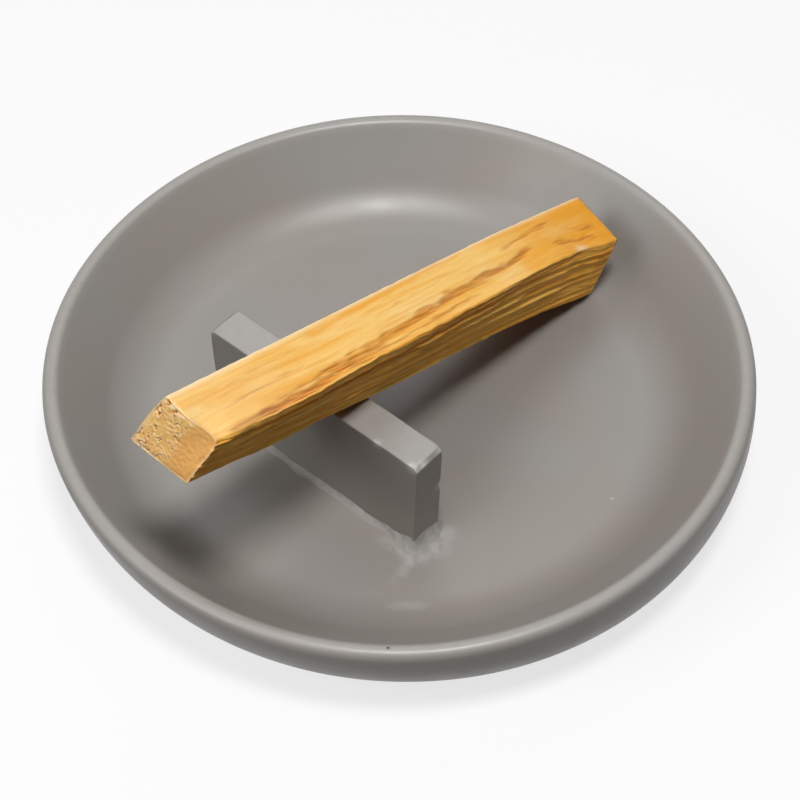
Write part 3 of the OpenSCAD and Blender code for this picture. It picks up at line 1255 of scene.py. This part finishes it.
@dataclass(frozen=True)
class GoldenTop:
    """The top: slow swells, a ragged torn step with painted shade in its hollows, brown and amber streaks,
    and a knot near the tail.

    Widths and depths are in millimetres. The weights go by the name of the layer that they belong to.
    """

    LAYERS: ClassVar[dict[str, Grain]] = {
        "swell": Grain(0.2, 0.05, 3.0),
        "furrow": Grain(0.8, 0.03, 7.0),
        "ragged": Grain(1.1, 0.3, 5.0),
        "fine": Grain(2.6, 0.14, 11.0),
    }
    WANDER: ClassVar[dict[str, float]] = {"swell": 0.5, "ragged": 0.45}
    ROUGH: ClassVar[dict[str, float]] = {"ragged": 0.45, "fine": 0.3}
    BROWN: ClassVar[dict[str, float]] = {"tear": 0.75, "streak": 0.7, "knot": 0.8}
    DEPTHS: ClassVar[dict[str, float]] = {
        "swell": 0.24,
        "furrow": 0.08,
        "ragged": 0.06,
        "fine": 0.04,
        "drop": -0.35,
        "tear": -0.25,
        "streak": -0.12,
        "knot": -0.25,
        "worn": -1.1,
    }
    step: Line = Line(
        ((0.06, 0.93), (0.22, 0.885), (0.34, 0.8), (0.51, 0.69), (0.73, 0.6), (0.86, 0.48)), 1.0, 0.8, 0.1
    )
    step_edge: Ramp = Ramp(-0.5, 0.7)
    tear_shown: Ramp = Ramp(0.3, 0.75)
    streaks: tuple[Line, ...] = (
        Line(((0.02, 0.96), (0.14, 0.93), (0.28, 0.91), (0.42, 0.9)), 0.7, 0.85),
        Line(((0.1, 0.86), (0.2, 0.8), (0.34, 0.73)), 0.35, 0.6),
        Line(((0.04, 0.6), (0.14, 0.53), (0.26, 0.5)), 0.4, 0.55),
        Line(((0.05, 0.3), (0.16, 0.26), (0.28, 0.25)), 0.3, 0.4),
        Line(((0.3, 0.95), (0.5, 0.88), (0.66, 0.82)), 0.35, 0.6),
        Line(((0.4, 0.42), (0.52, 0.36), (0.62, 0.34)), 0.3, 0.35),
        Line(((0.72, 0.36), (0.8, 0.3), (0.9, 0.24)), 0.45, 0.75),
        Line(((0.84, 0.66), (0.92, 0.76), (0.98, 0.8)), 0.6, 0.8),
        Line(((0.9, 0.5), (0.95, 0.56), (0.995, 0.6)), 0.8, 0.7),
    )
    streak_shown: Ramp = Ramp(0.12, 0.7)
    streak_rough: float = 0.4
    ambers: tuple[Line, ...] = (
        Line(((0.26, 0.17), (0.38, 0.125), (0.55, 0.06), (0.68, 0.03)), 0.7, 1.0),
        Line(((0.78, 0.1), (0.99, 0.2)), 1.8, 0.8),
        Line(((0.74, 0.75), (0.99, 0.6)), 2.2, 0.7),
        Line(((0.1, 0.8), (0.3, 0.7)), 0.9, 0.5),
    )
    amber_share: float = 0.8
    amber_swell: float = 0.5
    ripe: Ramp = Ramp(0.7, 1.0)
    ripe_share: float = 0.95
    ripe_swell: float = 0.1
    knot_across: float = 0.68
    knot_along: float = 0.912
    knot_ring: float = 1.7
    knot_reach: float = 1.9
    knot_long: float = 0.55
    knot_swell: float = 0.5
    knot_thin: int = 6
    knot_bend: Grain = Grain(0.55, 0.4, 67.0)
    knot_broken: Ramp = Ramp(-0.25, 0.15)
    chip_along: float = 0.905
    chip_length: float = 1.3
    chip_inset: float = 0.5
    chip_width: float = 0.8
    chip_share: float = 0.6
    edge_highlight_width: float = 0.6
    edge_highlight_share: float = 0.9
    edge_highlight_ragged: float = 0.4
    pale_tip: Ramp = Ramp(0.04, 0.3)
    pale_tip_share: float = 0.14
    worn_tip: Ramp = Ramp(0.0, 6.0)
    worn_right: Ramp = Ramp(0.3, 0.95)
    worn_shown: Ramp = Ramp(0.3, 0.7)
    worn_ragged: float = 0.3
    groove_shade_low: Ramp = Ramp(0.0, 0.4)
    groove_shade_share: float = 0.4

    def skin(self, share: Vector, grain: Vector, reach: float, length: float) -> Skin:
        """The surface at a point of the top.

        Args:
            share: The point's shares across, along and up.
            grain: The same point in millimetres along the stick's own directions.
            reach: How wide the top is there, in millimetres.
            length: How long the stick is, in millimetres.

        Returns:
            The marks and the depth.
        """
        across, along, _ = share
        parts = {name: layer.at(grain.x, grain.y) for name, layer in self.LAYERS.items()}
        swell, ragged, rough = parts["swell"], parts["ragged"], weighed(self.ROUGH, parts)
        wander = across + weighed(self.WANDER, parts) / reach
        torn = self.step.shown(along)
        streak = max(line.at(along, wander, reach) for line in self.streaks)
        amber = max(line.at(along, wander, reach) for line in self.ambers)
        amber *= self.amber_share + self.amber_swell * swell
        ripe = self.ripe_share * self.ripe.at(along + self.ripe_swell * swell)
        worn = (1 - self.worn_tip.at(along * length)) * self.worn_right.at(across)
        parts["drop"] = torn * self.step_edge.at(self.step.aside(along, wander, reach))
        parts["tear"] = self.tear_shown.at(self.step.at(along, wander, reach) + rough * torn)
        parts["streak"] = self.streak_shown.at(streak + self.streak_rough * rough)
        parts["knot"] = self.knot(across, along, reach, length, swell)
        parts["worn"] = worn
        marks = {
            Mark.STREAK: min(1.0, weighed(self.BROWN, parts)),
            Mark.AMBER: min(1.0, max(0.0, amber, ripe)),
            # Painted shade in the low parts of the tear.
            Mark.GROOVE_SHADE: self.groove_shade_share * parts["tear"] * self.groove_shade_low.at(-rough),
            Mark.TORN: MIDDLE - MIDDLE * TORN_EDGE.at((1 - across) * reach + TORN_RAGGED * ragged),
            Mark.EDGE: min(1.0, self.pale_marks_and_edge_highlight(across, along, reach, length, ragged)),
            Mark.SAWN: worn * self.worn_shown.at(worn + self.worn_ragged * ragged),
        }
        return Skin(weighed(self.DEPTHS, parts), marks)

    def pale_marks_and_edge_highlight(self, across: float, along: float, reach: float, length: float, ragged: float) -> float:
        """How pale the top is: a painted highlight along its left edge, pale wood at a chip in its right
        edge, and paler by the tip.

        Args:
            across: Share of the way from left to right.
            along: Share of the way from tip to tail.
            reach: How wide the top is there, in millimetres.
            length: How long the stick is, in millimetres.
            ragged: The ragged layer there.

        Returns:
            The paleness, which may pass 1.
        """
        # Painted highlight along the left edge.
        left = bell(across * reach, self.edge_highlight_width) * (self.edge_highlight_share + self.edge_highlight_ragged * ragged)
        chip = bell((along - self.chip_along) * length, self.chip_length)
        chip *= bell((1 - across) * reach - self.chip_inset, self.chip_width)
        return left + self.chip_share * chip + self.pale_tip_share * (1 - self.pale_tip.at(along))

    def knot(self, across: float, along: float, reach: float, length: float, swell: float) -> float:
        """The broken rings of the small knot near the tail.

        Args:
            across: Share of the way from left to right.
            along: Share of the way from tip to tail.
            reach: How wide the top is there, in millimetres.
            length: How long the stick is, in millimetres.
            swell: The swell there.

        Returns:
            How dark the rings are, from 0 to 1.
        """
        aside = (across - self.knot_across) * reach
        ahead = (along - self.knot_along) * length
        bent = self.knot_bend.at(aside, ahead)
        apart = math.hypot(aside, self.knot_long * ahead) + bent + self.knot_swell * swell
        rings = MIDDLE + MIDDLE * math.cos(math.tau * apart / self.knot_ring)
        return rings**self.knot_thin * bell(apart, self.knot_reach) * self.knot_broken.at(bent)


@dataclass(frozen=True)
class TornSide:
    """A torn side: long plates, cracks and pale slivers, hollow under the ridge, with painted shade in the
    cracks, under the plates' lips and in a brown band under the ridge.

    Widths and depths are in millimetres. The weights go by the name of the layer that they belong to.
    """

    LAYERS: ClassVar[dict[str, Grain]] = {
        "drift": Grain(0.3, 0.012, 23.0),
        "coarse": Grain(1.0, 0.02, 29.0),
        "fine": Grain(2.8, 0.06, 31.0),
        "patch": Grain(0.4, 0.05, 41.0),
    }
    WANDER: ClassVar[dict[str, float]] = {"drift": 1.1, "coarse": 0.12}
    GROOVE_SHADE_WEIGHTS: ClassVar[dict[str, float]] = {"lip": 0.8, "crack": 0.7}
    DEPTHS: ClassVar[dict[str, float]] = {
        "plate": 0.5,
        "coarse": 0.1,
        "fine": 0.06,
        "sliver": 0.3,
        "crack": -0.2,
        "brown": -0.2,
        "bulge": 0.5,
    }
    UNDER: ClassVar[dict[str, float]] = {"coarse": 0.15, "fine": 0.06}
    under_depth: float = 0.15
    plate_pitch: float = 2.1
    plate_lip: Ramp = Ramp(0.86, 1.0)
    plate_share: float = 0.9
    plate_patch: float = 0.5
    left_plates: Ramp = Ramp(0.0, 0.12)
    left_share: float = 0.5
    cracks: Grain = Grain(0.72, 0.012, 73.0)
    hairs: Grain = Grain(1.6, 0.028, 79.0)
    hair_share: float = 0.6
    crack_width: float = 0.05
    slivers: tuple[Line, ...] = (
        Line(((0.06, 0.5), (0.2, 0.42), (0.3, 0.4)), 0.36, 1.0),
        Line(((0.28, 0.52), (0.42, 0.55)), 0.3, 1.0),
        Line(((0.3, 0.68), (0.55, 0.74)), 0.36, 0.9),
        Line(((0.46, 0.28), (0.55, 0.3)), 0.3, 1.0),
        Line(((0.58, 0.42), (0.78, 0.4)), 0.38, 1.0),
        Line(((0.62, 0.62), (0.9, 0.58)), 0.34, 0.8),
        Line(((0.8, 0.3), (0.93, 0.34)), 0.34, 0.9),
        Line(((0.1, 0.93), (0.6, 0.95)), 0.5, 0.8),
    )
    pale_from: float = 0.2
    pale_share: float = 0.5
    # The band under the ridge that is painted brown as shade.
    brown: Line = Line(((0.02, 0.14), (0.3, 0.2), (0.45, 0.22), (0.66, 0.12), (0.96, 0.1)), 1.1, 1.0, 0.2)
    brown_wander: float = 0.5
    brown_shown: Ramp = Ramp(-0.5, 0.2)
    bulge_fade: Ramp = Ramp(0.0, 0.08)

    def skin(self, share: Vector, grain: Vector, reach: float, length: float) -> Skin:
        """The surface at a point of the right or left side.

        Args:
            share: The point's shares across, along and up.
            grain: The same point in millimetres along the stick's own directions.
            reach: How high the side is there, in millimetres.
            length: How long the stick is, in millimetres.

        Returns:
            The marks and the depth.
        """
        across, along, up = share
        is_left = across < MIDDLE
        rise = grain.z + (length if is_left else 0.0)
        below = (1 - up) * reach
        parts = {name: layer.at(rise, grain.y) for name, layer in self.LAYERS.items()}
        coarse, patch = parts["coarse"], parts["patch"]
        sheets = below / self.plate_pitch + weighed(self.WANDER, parts)
        sheet = sheets - math.floor(sheets)
        lip = self.plate_lip.at(sheet)
        plate = sheet / self.plate_lip.low * (1 - lip) - MIDDLE
        shown = self.left_plates.at(along) * self.left_share if is_left else 1.0
        hair = self.hairs.thread(rise, grain.y, self.crack_width)
        sliver = max(line.at(along, 1 - up, reach) for line in self.slivers)
        brown = self.brown.at(along, 1 - up + self.brown_wander * coarse / reach, reach)
        bulge = math.sin(math.pi * up) * (1 - self.bulge_fade.at(along))
        parts["lip"] = lip
        parts["plate"] = (self.plate_share + self.plate_patch * patch) * shown * plate
        parts["crack"] = max(self.cracks.thread(rise, grain.y, self.crack_width), self.hair_share * hair)
        parts["sliver"] = sliver
        parts["brown"] = brown * self.brown_shown.at(patch)
        parts["bulge"] = bulge if is_left else 0.0
        marks = {
            # Painted shade in the cracks and under the plates' lips.
            Mark.GROOVE_SHADE: min(1.0, weighed(self.GROOVE_SHADE_WEIGHTS, parts)) * (1 - sliver),
            Mark.SLIVER: min(1.0, sliver + self.pale_share * max(0.0, coarse - self.pale_from)),
            # Brown painted shade under the ridge.
            Mark.BROWN_SHADE: parts["brown"],
            Mark.TORN: MIDDLE + MIDDLE * TORN_EDGE.at(below + TORN_RAGGED * coarse),
        }
        return Skin(weighed(self.DEPTHS, parts), marks)

    def under(self, grain: Vector) -> Skin:
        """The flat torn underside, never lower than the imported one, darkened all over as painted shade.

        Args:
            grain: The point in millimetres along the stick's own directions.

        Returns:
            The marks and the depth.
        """
        parts = {name: self.LAYERS[name].at(grain.x, grain.y) for name in self.UNDER}
        depth = min(0.0, weighed(self.UNDER, parts) - self.under_depth)
        # The underside is darkened as painted shade.
        return Skin(depth, {Mark.TORN: 1.0, Mark.GROOVE_SHADE: 1.0, Mark.BROWN_SHADE: 1.0})


@dataclass(frozen=True)
class SawnEnd:
    """A sawn end: curly pits with raised rims over the left of the tip, and a smooth worn right.

    Depths are in millimetres. Widths of pits and crests are in the noise that draws them.
    """

    DEPTHS: ClassVar[dict[str, float]] = {
        "crest": 0.1,
        "pit": -0.28,
        "crumb": 0.08,
        "rim": -0.15,
        "broken": -0.5,
    }
    tip_seed: float = 53.0
    tail_seed: float = 71.0
    curl_scale: float = 0.8
    mask_scale: float = 0.55
    crumb_scale: float = 1.7
    curl: float = 0.6
    curl_edge: Ramp = Ramp(0.036, 0.12)
    curl_shown: Ramp = Ramp(-0.02, 0.14)
    crumb_shown: Ramp = Ramp(0.42, 0.55)
    crest_at: float = 0.18
    crest_width: float = 0.072
    smooth: Ramp = Ramp(0.42, 0.72)
    smooth_wander: float = 0.15
    tail_share: float = 0.3
    rim_width: float = 0.05
    rim_broken: Ramp = Ramp(-0.1, 0.5)
    rim_crumb: float = 0.5
    pale_rim: float = 0.4
    pale_rim_width: float = 0.03
    pale_crest: float = 0.6

    def skin(self, share: Vector, grain: Vector) -> Skin:
        """The surface at a point of an end.

        Args:
            share: The point's shares across, along and up.
            grain: The same point in millimetres along the stick's own directions.

        Returns:
            The marks and the depth.
        """
        across, along, up = share
        at_tip = along <= 0.0
        place = Vector((grain.x, grain.z, self.tip_seed if at_tip else self.tail_seed))
        swirl = noise.noise_vector(place * self.curl_scale)
        field = abs(noise.noise(place * self.curl_scale + self.curl * swirl))
        mask = noise.noise(place * self.mask_scale + UP)
        crumb = noise.noise(place * self.crumb_scale)
        pitted = 1 - self.smooth.at(across + self.smooth_wander * mask) if at_tip else self.tail_share
        curls = (1 - self.curl_edge.at(field)) * self.curl_shown.at(mask)
        pit = pitted * max(curls, self.crumb_shown.at(crumb))
        crest = pitted * bell(field - self.crest_at, self.crest_width)
        edge = min(across, 1 - across, up, 1 - up)
        rim = bell(edge, self.rim_width)
        broken = rim * self.rim_broken.at(mask + self.rim_crumb * crumb)
        parts = {"crest": crest, "pit": pit, "crumb": crumb, "rim": rim, "broken": broken}
        marks = {
            Mark.SAWN: 1.0,
            Mark.PIT: pit,
            Mark.SMOOTH: 1 - pitted,
            Mark.EDGE: self.pale_rim * bell(edge, self.pale_rim_width) + self.pale_crest * crest,
        }
        return Skin(weighed(self.DEPTHS, parts), marks)


@dataclass(frozen=True)
class Section:
    """One cross-section of the stick: its corners in order, and how far each is rounded."""

    corners: tuple[Vector, ...]
    rounds: tuple[float, ...]

    def width(self) -> float:
        """How wide the top is."""
        return (self.corners[Corner.UPPER_RIGHT] - self.corners[Corner.UPPER_LEFT]).length

    def height(self) -> float:
        """How high the right side is."""
        return (self.corners[Corner.UPPER_RIGHT] - self.corners[Corner.LOWER_RIGHT]).length

    def sharp(self, across: float, up: float) -> Vector:
        """A point of the section with sharp corners.

        Args:
            across: Share of the way from left to right.
            up: Share of the way from the underside to the top.

        Returns:
            The point.
        """
        lower = self.corners[Corner.LOWER_LEFT].lerp(self.corners[Corner.LOWER_RIGHT], across)
        upper = self.corners[Corner.UPPER_LEFT].lerp(self.corners[Corner.UPPER_RIGHT], across)
        return lower.lerp(upper, up)

    @staticmethod
    def nearest(across: float, up: float) -> Corner:
        """The corner that a point is nearest to, by its shares.

        Args:
            across: Share of the way from left to right.
            up: Share of the way from the underside to the top.

        Returns:
            The corner.
        """
        if up > MIDDLE:
            return Corner.UPPER_RIGHT if across > MIDDLE else Corner.UPPER_LEFT
        return Corner.LOWER_RIGHT if across > MIDDLE else Corner.LOWER_LEFT

    def eased(self, across: float, up: float) -> Vector:
        """A point of the section's edge, moved on to the round of the nearest corner.

        Args:
            across: Share of the way from left to right.
            up: Share of the way from the underside to the top.

        Returns:
            The point on the rounded edge.
        """
        plain = self.sharp(across, up)
        nearest = self.nearest(across, up)
        corner, size = self.corners[nearest], self.rounds[nearest]
        back = (self.corners[nearest - 1] - corner).normalized()
        ahead = (self.corners[(nearest + 1) % len(self.corners)] - corner).normalized()
        half = back.angle(ahead) / 2
        reach = size / math.tan(half)
        away = (plain - corner).length
        if away >= reach:
            return plain
        inward = (back + ahead).normalized()
        centre = corner + inward * (size / math.sin(half))
        own = (plain - corner).normalized() if away > MERGE else ahead
        level = (corner + own * reach - centre).normalized()
        turn = math.pi / 2 - half
        share = 1 - away / reach
        outward = level * math.sin((1 - share) * turn) - inward * math.sin(share * turn)
        return centre + outward.normalized() * size


@dataclass
class SplitStick(Piece):
    """The stick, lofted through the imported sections, then torn along its grain and pitted at its tip."""

    cells_across: int = 76
    cells_along: int = 230
    rounds: tuple[float, ...] = (0.35 * MM, 0.5 * MM, 0.55 * MM, 0.4 * MM)
    ridge_in: tuple[tuple[float, float], ...] = (
        (0.0, 0.0), (0.2, -0.5), (0.42, 0.0), (0.64, 0.4), (0.84, 0.85), (0.9, 0.95), (0.97, 0.15), (1.0, 0.0)
    )
    lower_in: tuple[tuple[float, float], ...] = ((0.41, 0.0), (0.64, 0.35), (0.84, 0.3), (0.98, 0.0))
    tip_slope: float = 1.3 * MM
    tip_slope_share: float = 0.07
    tip_round: float = 1.4 * MM
    belly_ease: float = 0.12
    ridge_ripples: tuple[tuple[float, Grain], ...] = (
        (0.2, Grain(13.0, 1.0, 17.0)),
        (0.25, Grain(42.0, 1.0, 17.0)),
    )
    ridge_lane: float = 2.0
    lower_lean: float = 0.8
    slope_across: Ramp = Ramp(0.35, 1.0)
    slope_up: Ramp = Ramp(0.1, 1.0)
    ease_power: int = 4
    fade: Ramp = Ramp(0.0, 0.7)
    edge_wear: float = 0.08
    edge_ripple: Grain = Grain(0.5, 1.0, 19.0)
    edge_lane: float = 3.0
    top: GoldenTop = GoldenTop()
    side: TornSide = TornSide()
    end: SawnEnd = SawnEnd()

    def __post_init__(self) -> None:
        """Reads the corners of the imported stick: tip, fullest part and tail, four to a section."""
        bm = bmesh.new()
        bm.from_mesh(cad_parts[self.node.value].data)
        bmesh.ops.remove_doubles(bm, verts=bm.verts, dist=MERGE)
        points = sorted((v.co.copy() for v in bm.verts), key=lambda p: p.y)
        bm.free()
        count = len(Corner)
        self.tip, self.belly, self.tail = (
            self.sorted_corners(points[k * count:(k + 1) * count]) for k in range(3)
        )
        run = self.tail[Corner.LOWER_RIGHT] - self.tip[Corner.LOWER_RIGHT]
        self.length = run.length
        to_belly = self.belly[Corner.LOWER_RIGHT] - self.tip[Corner.LOWER_RIGHT]
        self.belly_share = to_belly.length / self.length
        self.axis = run.normalized()
        self.sideways = (self.tip[Corner.LOWER_RIGHT] - self.tip[Corner.LOWER_LEFT]).normalized()
        self.upward = self.sideways.cross(self.axis).normalized()
        self.sections = [self.section(row / self.cells_along) for row in range(self.cells_along + 1)]

    @staticmethod
    def sorted_corners(points: list[Vector]) -> dict[Corner, Vector]:
        """Names a section's four corners by where they lie.

        Args:
            points: The corners in any order.

        Returns:
            Each corner by its name, in order round the section.
        """
        lower = sorted(sorted(points, key=lambda p: p.z)[:2], key=lambda p: p.x)
        upper = sorted(sorted(points, key=lambda p: p.z)[2:], key=lambda p: p.x)
        return dict(zip(Corner, (*lower, *reversed(upper))))

    def block(self) -> BMesh:
        """A unit block cut into cells: X across the stick, Y along it and Z up."""
        bm = bmesh.new()
        bmesh.ops.create_cube(bm, size=1, matrix=Matrix.Translation((MIDDLE, MIDDLE, MIDDLE)))
        for axis, cells in ((1, self.cells_along), (0, self.cells_across), (2, self.cells_across)):
            edges = [e for e in bm.edges if abs(e.verts[0].co[axis] - e.verts[1].co[axis]) > MIDDLE]
            bmesh.ops.subdivide_edges(bm, edges=edges, cuts=cells - 1, use_grid_fill=True)
        return bm

    def corner(self, name: Corner, along: float) -> Vector:
        """One long edge of the stick at a share of its length, eased past the fullest part.

        Args:
            name: The edge.
            along: Share of the way from tip to tail.

        Returns:
            The point.
        """
        tent = min(along / self.belly_share, (1 - along) / (1 - self.belly_share))
        straight = self.tip[name].lerp(self.tail[name], along)
        bow = self.belly[name] - self.tip[name].lerp(self.tail[name], self.belly_share)
        return straight + bow * (tent - self.belly_ease * bell(tent - 1, 2 * self.belly_ease))

    def section(self, along: float) -> Section:
        """The section at a share of the length, with its long edges a little out of line.

        Args:
            along: Share of the way from tip to tail.

        Returns:
            The section.
        """
        corners = [self.corner(name, along) for name in Corner]
        wander = sum(size * ripple.at(along, self.ridge_lane) for size, ripple in self.ridge_ripples)
        corners[Corner.UPPER_RIGHT] -= self.sideways * MM * (along_points(self.ridge_in, along) + wander)
        inward = self.upward - self.lower_lean * self.sideways
        corners[Corner.LOWER_RIGHT] += inward * MM * along_points(self.lower_in, along)
        rounds = list(self.rounds)
        rounds[Corner.UPPER_RIGHT] += self.tip_round * (1 - smoothstep(0.0, self.tip_slope_share, along))
        return Section(tuple(corners), tuple(rounds))

    def section_at(self, along: float) -> Section:
        """The section kept for a row of cells."""
        return self.sections[round(along * self.cells_along)]

    def loft(self, across: float, along: float, up: float) -> Vector:
        """A point of the stick, with the long edges rounded and the tip sloped off.

        Args:
            across: Share of the way from left to right.
            along: Share of the way from tip to tail.
            up: Share of the way from the underside to the top.

        Returns:
            The point.
        """
        section = self.section_at(along)
        outward = 2 * max(abs(across - MIDDLE), abs(up - MIDDLE))
        slope = self.slope_across.at(across) * self.slope_up.at(up)
        back = self.axis * self.tip_slope * slope * (1 - smoothstep(0.0, self.tip_slope_share, along))
        if outward < MERGE:
            return section.sharp(across, up) + back
        side = MIDDLE + (across - MIDDLE) / outward
        top = MIDDLE + (up - MIDDLE) / outward
        shift = section.eased(side, top) - section.sharp(side, top)
        return section.sharp(across, up) + shift * outward**self.ease_power + back

    def build(self, finish: WoodFinish) -> bpy.types.Object:
        """Models and dresses the stick.

        Args:
            finish: The wood.

        Returns:
            The finished piece.
        """
        bm = self.block()
        shares = [v.co.copy() for v in bm.verts]
        for vert, share in zip(bm.verts, shares):
            vert.co = self.loft(*share)
        bm.normal_update()
        layers = {mark: bm.verts.layers.float.new(mark.value) for mark in Mark}
        grain = bm.verts.layers.float_vector.new(GRAIN)
        origin = self.tip[Corner.LOWER_RIGHT]
        for vert, share in zip(bm.verts, shares):
            local = vert.co - origin
            own = (local.dot(way) for way in (self.sideways, self.axis, self.upward))
            vert[grain] = PER_MM * Vector(own)
            skin = self.skin(share, vert[grain])
            for mark, value in skin.marks.items():
                vert[layers[mark]] = value
            vert.co += vert.normal * skin.depth * MM
            vert.co.z = min(vert.co.z, cad_high.z)
        return self.publish(bm, finish.material())

    def skin(self, share: Vector, grain: Vector) -> Skin:
        """The surface at a point of the stick, with its relief evened out at the edges, where the faces meet.

        Args:
            share: The point's shares across, along and up.
            grain: The same point in millimetres along the stick's own directions.

        Returns:
            The marks and the depth.
        """
        across, along, up = share
        section, length = self.section_at(along), PER_MM * self.length
        width, height = PER_MM * section.width(), PER_MM * section.height()
        if along <= 0.0 or along >= 1.0:
            skin = self.end.skin(share, grain)
            inside = self.fade.at(min(across, 1 - across) * width)
            inside *= self.fade.at(min(up, 1 - up) * height)
        else:
            if up >= 1.0:
                skin = self.top.skin(share, grain, width, length)
                aside = min(across, 1 - across) * width
            elif across >= 1.0 or across <= 0.0:
                skin = self.side.skin(share, grain, height, length)
                aside = min(up, 1 - up) * height
            else:
                skin = self.side.under(grain)
                aside = min(across, 1 - across) * width
            inside = self.fade.at(aside)
            inside *= self.fade.at(min(along, 1 - along) * length)
        worn = self.edge_wear * (self.edge_ripple.at(grain.y, self.edge_lane) - 1)
        skin.depth = worn + (skin.depth - worn) * inside
        return skin


@dataclass(frozen=True)
class Lamp:
    """A square soft box: where it stands from the dish, how far, how wide and how strong."""

    name: str
    azimuth: float
    elevation: float
    distance: float
    size: float
    watts: float


def direction(azimuth: float, elevation: float) -> Vector:
    """The way from the dish towards a camera or lamp.

    Args:
        azimuth: Degrees round from -Y towards +X.
        elevation: Degrees above the table.

    Returns:
        A unit vector.
    """
    turn, rise = math.radians(azimuth), math.radians(elevation)
    return Vector((math.sin(turn) * math.cos(rise), -math.cos(turn) * math.cos(rise), math.sin(rise)))


@dataclass
class Studio:
    """The white table, the soft lamps and the camera."""

    table_reach: float = 3.0
    table_colour: Colour = (0.9, 0.9, 0.9, 1.0)
    table_bounce: Colour = (0.15, 0.15, 0.145, 1.0)
    table_glow: float = 0.74
    white: Colour = (1.0, 1.0, 1.0, 1.0)
    sky_level: float = 0.03
    lamps: tuple[Lamp, ...] = (
        Lamp("key_softbox", 58.0, 78.0, 0.9, 0.2, 5.7),
        Lamp("front_softbox", -20.0, 44.0, 0.9, 0.42, 2.5),
        Lamp("back_softbox", 220.0, 56.0, 0.9, 0.4, 0.7),
    )
    lens: float = 103.5
    sensor: float = 36.0
    azimuth: float = 41.743
    elevation: float = 49.997
    roll: float = -0.566
    distance: float = 379.96 * MM
    target: Vector = Vector((6.37 * MM, -7.0 * MM, 18.0 * MM))

    def lay_table(self) -> None:
        """A pale table that shows almost white and keeps the soft shadow of the dish."""
        bm = bmesh.new()
        bmesh.ops.create_grid(bm, x_segments=1, y_segments=1, size=self.table_reach)
        mesh = bpy.data.meshes.new("table")
        bm.to_mesh(mesh)
        bm.free()
        graph = Graph(bpy.data.materials.new("white_table"))
        pale = graph.output("ShaderNodeBsdfDiffuse", {}, {"Color": self.table_colour})
        dull = graph.output("ShaderNodeBsdfDiffuse", {}, {"Color": self.table_bounce})
        white = graph.output("ShaderNodeEmission", {}, {"Color": self.white, "Strength": 1.0})
        shown = graph.output("ShaderNodeMixShader", {}, {0: self.table_glow, 1: pale, 2: white})
        whole = graph.output("ShaderNodeMixShader", {}, {0: graph.seen(), 1: dull, 2: shown})
        mesh.materials.append(graph.surface(whole))
        table = bpy.data.objects.new("table", mesh)
        bpy.context.scene.collection.objects.link(table)

    def light(self) -> None:
        """Hangs the soft boxes and sets a dim sky that shows white."""
        for lamp in self.lamps:
            data = bpy.data.lights.new(lamp.name, "AREA")
            data.shape = "SQUARE"
            data.size = lamp.size
            data.energy = lamp.watts
            hung = bpy.data.objects.new(lamp.name, data)
            away = direction(lamp.azimuth, lamp.elevation)
            turned = away.to_track_quat("Z", "Y").to_matrix().to_4x4()
            hung.matrix_world = Matrix.Translation(away * lamp.distance) @ turned
            bpy.context.scene.collection.objects.link(hung)
        graph = Graph(bpy.data.worlds.new("studio_sky"))
        dim = graph.output("ShaderNodeBackground", {}, {"Color": self.white, "Strength": self.sky_level})
        bright = graph.output("ShaderNodeBackground", {}, {"Color": self.white, "Strength": 1.0})
        whole = graph.output("ShaderNodeMixShader", {}, {0: graph.seen(), 1: dim, 2: bright})
        bpy.context.scene.world = graph.surface(whole)

    def set_camera(self) -> None:
        """Stands the camera where the picture was taken from."""
        back = direction(self.azimuth, self.elevation)
        right = UP.cross(back).normalized()
        above = back.cross(right)
        tilt = math.radians(self.roll)
        across = right * math.cos(tilt) + above * math.sin(tilt)
        upright = above * math.cos(tilt) - right * math.sin(tilt)
        turned = Matrix((across, upright, back)).transposed().to_4x4()
        data = bpy.data.cameras.new("picture_camera")
        data.lens = self.lens
        data.sensor_width = self.sensor
        camera = bpy.data.objects.new("picture_camera", data)
        camera.matrix_world = Matrix.Translation(self.target + back * self.distance) @ turned
        bpy.context.scene.collection.objects.link(camera)
        bpy.context.scene.camera = camera

    def build(self) -> None:
        """Sets up the whole studio."""
        bpy.context.scene.view_settings.view_transform = "Standard"
        self.lay_table()
        self.light()
        self.set_camera()


def main() -> None:
    """Builds the pieces in order and sets the studio round them."""
    logging.basicConfig(level=logging.INFO)
    noise.seed_set(NOISE_SEED)
    Studio().build()
    Dish("stoneware_dish", Node.DISH, Body.HOLDER, Slot.STONEWARE).build(StonewareFinish("dish_clay"))
    # On the bar, the marked vertices show much paler: chips as worn clay, the top faces as a painted sheen.
    bar_finish = StonewareFinish("bar_clay", wear_and_sheen_share=0.8)
    RestBar("stoneware_rest_bar", Node.REST_BAR, Body.HOLDER, Slot.STONEWARE).build(bar_finish)
    SlipSeam("luting_slip", Node.SLIP_SEAM, Body.HOLDER, Slot.SLIP).build(SlipFinish("dry_slip"))
    SplitStick("split_stick", Node.STICK, Body.STICK, Slot.PALO_SANTO).build(WoodFinish("palo_santo_wood"))


if __name__ == "__main__":
    main()
